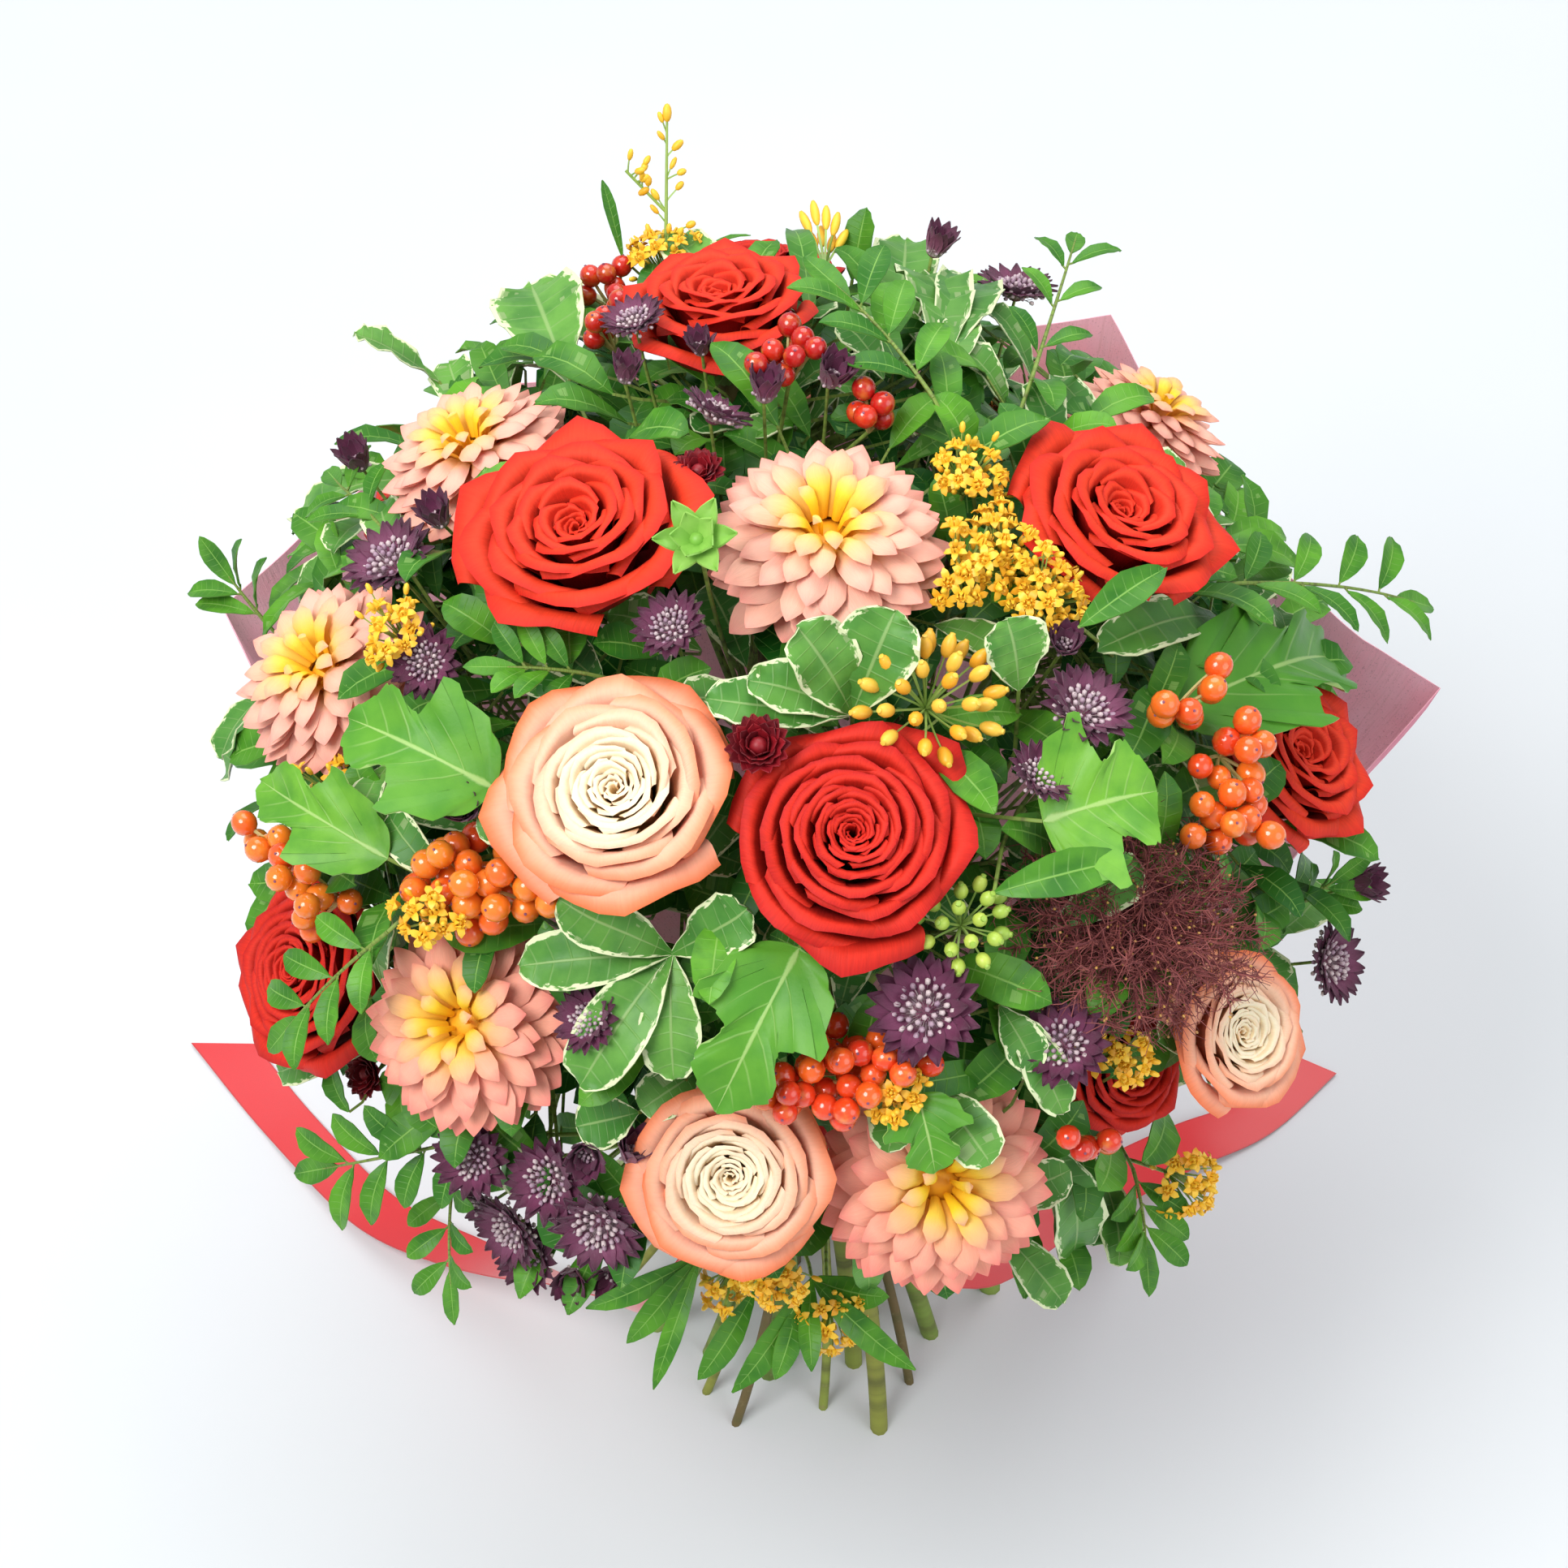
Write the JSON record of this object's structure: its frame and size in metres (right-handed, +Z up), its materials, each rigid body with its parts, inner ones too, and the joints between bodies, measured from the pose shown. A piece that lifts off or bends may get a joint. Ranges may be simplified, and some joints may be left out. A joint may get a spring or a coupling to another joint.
{
  "type": "mixed flower bouquet",
  "caption": "Hand-tied round bouquet of roses, dahlias, small filler flowers, berries and leaves in mauve paper with a ribbon, standing on its splayed stems.",
  "frame": {"origin": "centre of the middle stem's cut end, on the surface the bouquet stands on", "axes": "+Z up along the bouquet's axis, -Y towards the side the flowers face most, +X to that viewer's right"},
  "size_m": [0.447, 0.3802, 0.4619],
  "materials": {
    "red_petals": "velvety",
    "peach_petals": "soft matt",
    "coral_petals": "soft matt",
    "stems": "satin green bark",
    "plum_bracts": "dry matt",
    "red_berries": "glossy skin",
    "orange_berries": "glossy skin",
    "golden_florets": "waxy",
    "umbel_buds": "matt",
    "smoke_plume": "hazy matt",
    "leaves": "satin",
    "paper": "fibrous matt",
    "ribbon": "satin"
  },
  "bodies": {
    "root": {"rose_red_front": "red_petals", "rose_red_left": "red_petals", "rose_red_right": "red_petals", "rose_red_top": "red_petals", "rose_red_far_right": "red_petals", "rose_red_far_left": "red_petals", "rose_red_low_right": "red_petals", "rose_peach_front": "peach_petals", "rose_peach_low": "peach_petals", "rose_peach_side": "peach_petals", "dahlia_top": "coral_petals", "dahlia_upper_left": "coral_petals", "dahlia_left": "coral_petals", "dahlia_low_left": "coral_petals", "dahlia_low_right": "coral_petals", "dahlia_upper_right": "coral_petals", "rose_red_back": "red_petals", "dahlia_back": "coral_petals", "rose_peach_back": "peach_petals", "rose_red_back_left": "red_petals", "rose_red_front_stem": "stems", "rose_red_left_stem": "stems", "rose_red_right_stem": "stems", "rose_red_top_stem": "stems", "rose_red_far_right_stem": "stems", "rose_red_far_left_stem": "stems", "rose_red_low_right_stem": "stems", "rose_peach_front_stem": "stems", "rose_peach_low_stem": "stems", "rose_peach_side_stem": "stems", "dahlia_top_stem": "stems", "dahlia_upper_left_stem": "stems", "dahlia_left_stem": "stems", "dahlia_low_left_stem": "stems", "dahlia_low_right_stem": "stems", "dahlia_upper_right_stem": "stems", "rose_red_back_stem": "stems", "dahlia_back_stem": "stems", "rose_peach_back_stem": "stems", "rose_red_back_left_stem": "stems", "wrapping_paper": "paper", "ribbon": "ribbon", "astrantia_upper": "plum_bracts", "astrantia_left": "plum_bracts", "astrantia_low_left": "plum_bracts", "astrantia_right": "plum_bracts", "berries_top": "red_berries", "berries_right": "orange_berries", "berries_left": "orange_berries", "berries_front": "red_berries", "butterfly_weed_right": "golden_florets", "butterfly_weed_left": "golden_florets", "butterfly_weed_low": "golden_florets", "umbels": "umbel_buds", "smoke_bush": "smoke_plume", "viburnum_leaves_right": "leaves", "viburnum_leaves_left": "leaves", "pittosporum_low": "leaves", "pittosporum_top": "leaves", "strap_leaves_low": "leaves"}
  },
  "joints": []
}
